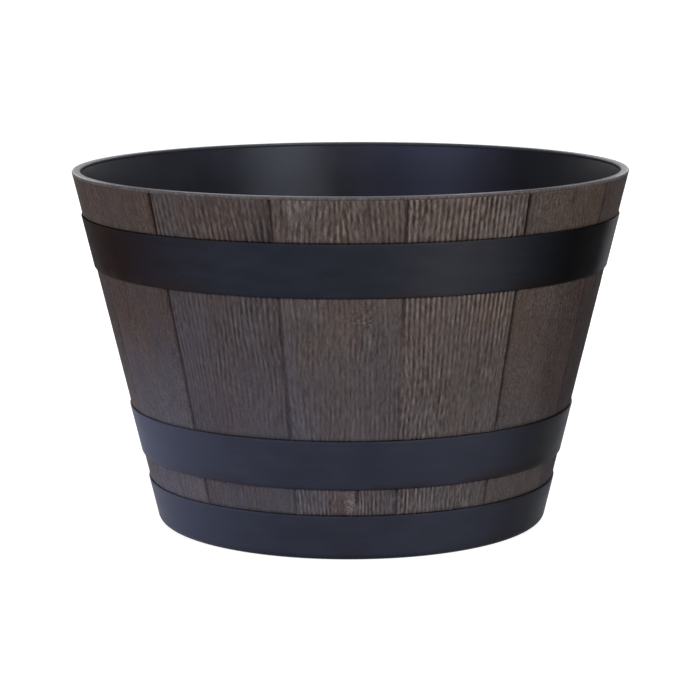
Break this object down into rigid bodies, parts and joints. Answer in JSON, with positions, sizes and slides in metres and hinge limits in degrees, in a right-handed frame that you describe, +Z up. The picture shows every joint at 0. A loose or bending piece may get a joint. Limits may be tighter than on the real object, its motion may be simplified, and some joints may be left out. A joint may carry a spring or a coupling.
{
  "type": "resin whiskey barrel planter",
  "caption": "Half-barrel planter: tapered wall moulded as staves, smooth black hoops, nested inner pot, rim ring and push-in drain plugs.",
  "frame": {"origin": "centre of the underside, on the surface that the planter stands on", "axes": "+Z up along the planter's axis; -Y is the front that the picture shows; +X is to the viewer's right"},
  "size_m": [0.5191, 0.5192, 0.333],
  "materials": {
    "walnut_resin": "moulded wood grain, wiped walnut",
    "hoop_black": "smooth satin blue-black",
    "rim_resin": "smooth satin grey-brown",
    "pot_black": "smooth satin black",
    "plug_rubber": "matt black"
  },
  "bodies": {
    "barrel": {"base_hoop": "hoop_black", "stave_shell": "walnut_resin", "inner_pot": "pot_black", "lower_hoop": "hoop_black", "upper_hoop": "hoop_black", "rim_ring": "rim_resin"},
    "plug_centre": {"drain_plug_centre": "plug_rubber"},
    "plug_front": {"drain_plug_front": "plug_rubber"},
    "plug_right": {"drain_plug_right": "plug_rubber"},
    "plug_back": {"drain_plug_back": "plug_rubber"},
    "plug_left": {"drain_plug_left": "plug_rubber"}
  },
  "joints": [
    {"name": "plug_centre_pull", "type": "slide", "parent": "barrel", "child": "plug_centre", "axis": [0, 0, 1], "range_m": [0, 0.34]},
    {"name": "plug_front_pull", "type": "slide", "parent": "barrel", "child": "plug_front", "axis": [0, 0, 1], "range_m": [0, 0.34]},
    {"name": "plug_right_pull", "type": "slide", "parent": "barrel", "child": "plug_right", "axis": [0, 0, 1], "range_m": [0, 0.34]},
    {"name": "plug_back_pull", "type": "slide", "parent": "barrel", "child": "plug_back", "axis": [0, 0, 1], "range_m": [0, 0.34]},
    {"name": "plug_left_pull", "type": "slide", "parent": "barrel", "child": "plug_left", "axis": [0, 0, 1], "range_m": [0, 0.34]}
  ]
}
